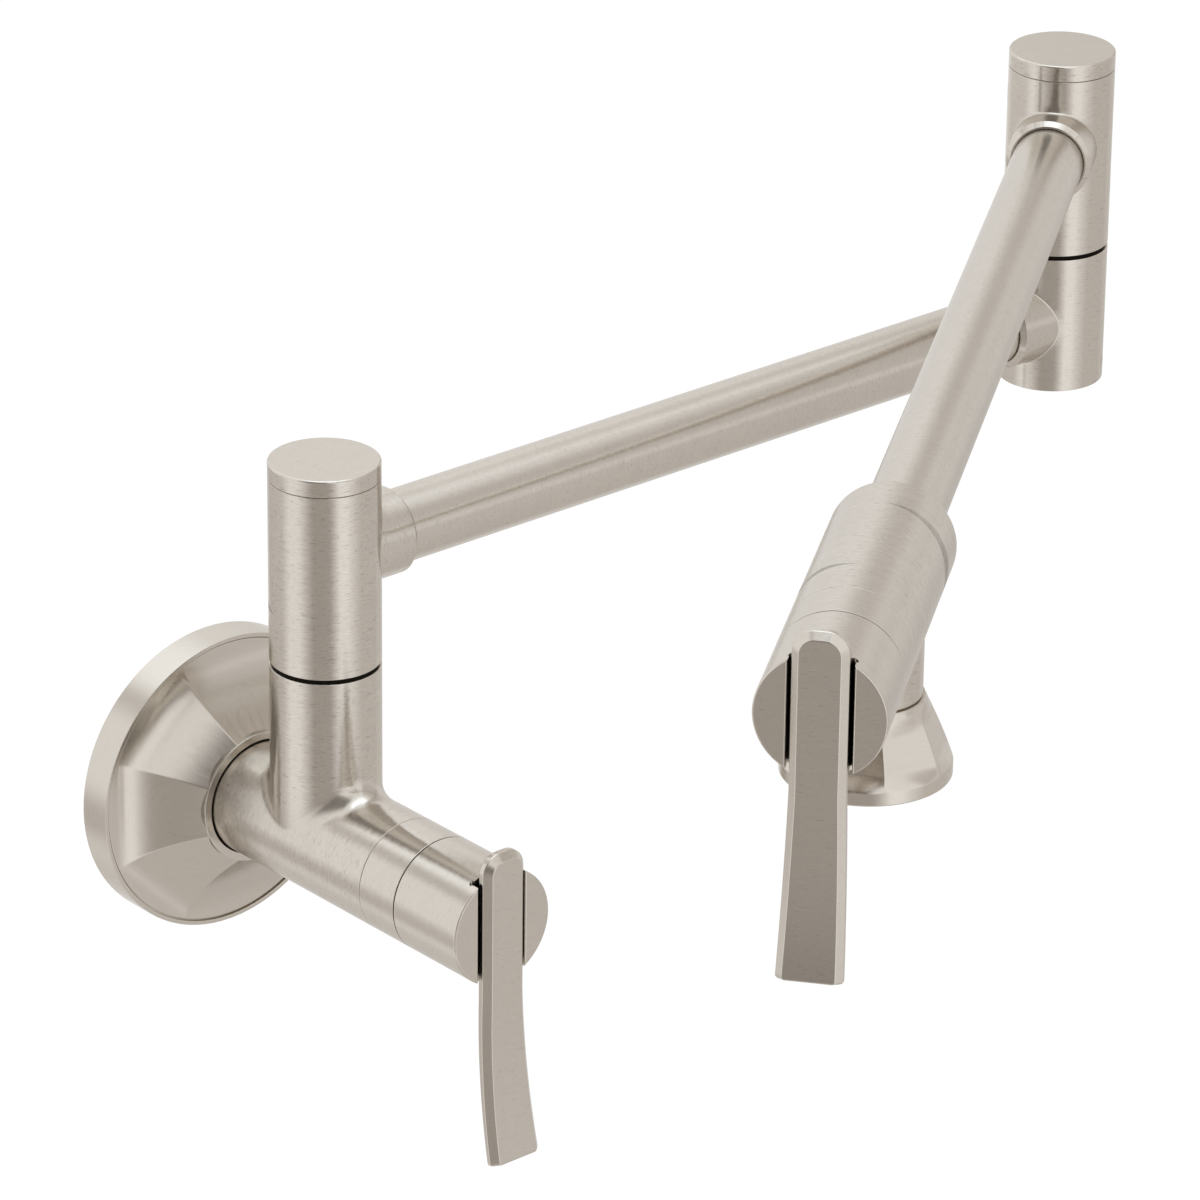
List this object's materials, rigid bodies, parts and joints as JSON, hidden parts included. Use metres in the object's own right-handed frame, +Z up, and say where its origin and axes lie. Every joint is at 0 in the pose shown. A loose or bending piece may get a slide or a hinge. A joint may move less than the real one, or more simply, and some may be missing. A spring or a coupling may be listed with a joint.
{
  "type": "pot filler",
  "caption": "Wall-mounted pot filler: a folding two-part arm on swivel columns, a lever valve at each end and a faceted bell nozzle.",
  "frame": {"origin": "centre of the threaded inlet, on the wall plane", "axes": "+Y into the wall along the inlet, +Z up, +X along the inner arm at rest"},
  "size_m": [0.3216, 0.291, 0.2171],
  "materials": {
    "nickel": "satin brushed nickel, brushed round each bar",
    "brass": "machined",
    "rubber": "matte black",
    "black_plastic": "matte black",
    "ceramic": "lapped ceramic",
    "steel": "plain stainless"
  },
  "bodies": {
    "wall_mount": {"wall_flange": "nickel", "flange_o_ring": "rubber", "wall_body": "nickel", "wall_swivel_post": "brass", "wall_post_o_rings": "rubber", "wall_bearing_washer": "black_plastic", "wall_retaining_nut": "brass", "wall_cartridge_seal": "rubber", "wall_fixed_disc": "ceramic", "wall_cartridge": "brass", "wall_cartridge_nut": "brass", "wall_trim_ring": "nickel", "wall_glide_washer": "black_plastic"},
    "wall_handle": {"wall_moving_disc": "ceramic", "wall_stem": "brass", "wall_handle_hub": "nickel", "wall_lever": "nickel", "wall_set_screw": "steel"},
    "inner_arm": {"wall_swivel_barrel": "nickel", "wall_column_cap": "nickel", "inner_arm_tube": "nickel", "elbow_lower_barrel": "nickel", "elbow_swivel_post": "brass", "elbow_post_o_rings": "rubber", "elbow_bearing_washer": "black_plastic", "elbow_retaining_nut": "brass"},
    "outer_arm": {"elbow_upper_barrel": "nickel", "elbow_cap": "nickel", "outer_arm_tube": "nickel", "spout_body": "nickel", "spout_cartridge_seal": "rubber", "spout_fixed_disc": "ceramic", "spout_cartridge": "brass", "spout_cartridge_nut": "brass", "spout_trim_ring": "nickel", "spout_glide_washer": "black_plastic", "nozzle": "nickel", "aerator_washer": "rubber", "aerator_housing": "steel", "aerator_screen": "steel"},
    "spout_handle": {"spout_moving_disc": "ceramic", "spout_stem": "brass", "spout_handle_hub": "nickel", "spout_lever": "nickel", "spout_set_screw": "steel"}
  },
  "joints": [
    {"name": "wall_lever_turn", "type": "hinge", "parent": "wall_mount", "child": "wall_handle", "pos_m": [0, -0.1, 0], "axis": [0, -1, 0], "range_deg": [0, 90]},
    {"name": "wall_swivel", "type": "hinge", "parent": "wall_mount", "child": "inner_arm", "pos_m": [0, -0.0495, 0.0788], "axis": [0, 0, 1], "range_deg": [-185, 5]},
    {"name": "elbow_swivel", "type": "hinge", "parent": "inner_arm", "child": "outer_arm", "pos_m": [0.254, -0.0495, 0.1293], "axis": [0, 0, 1], "continuous": true},
    {"name": "spout_lever_turn", "type": "hinge", "parent": "outer_arm", "child": "spout_handle", "pos_m": [0.00997, -0.23742, 0.1293], "axis": [-0.7923, -0.6101, 0], "range_deg": [0, 90]}
  ]
}
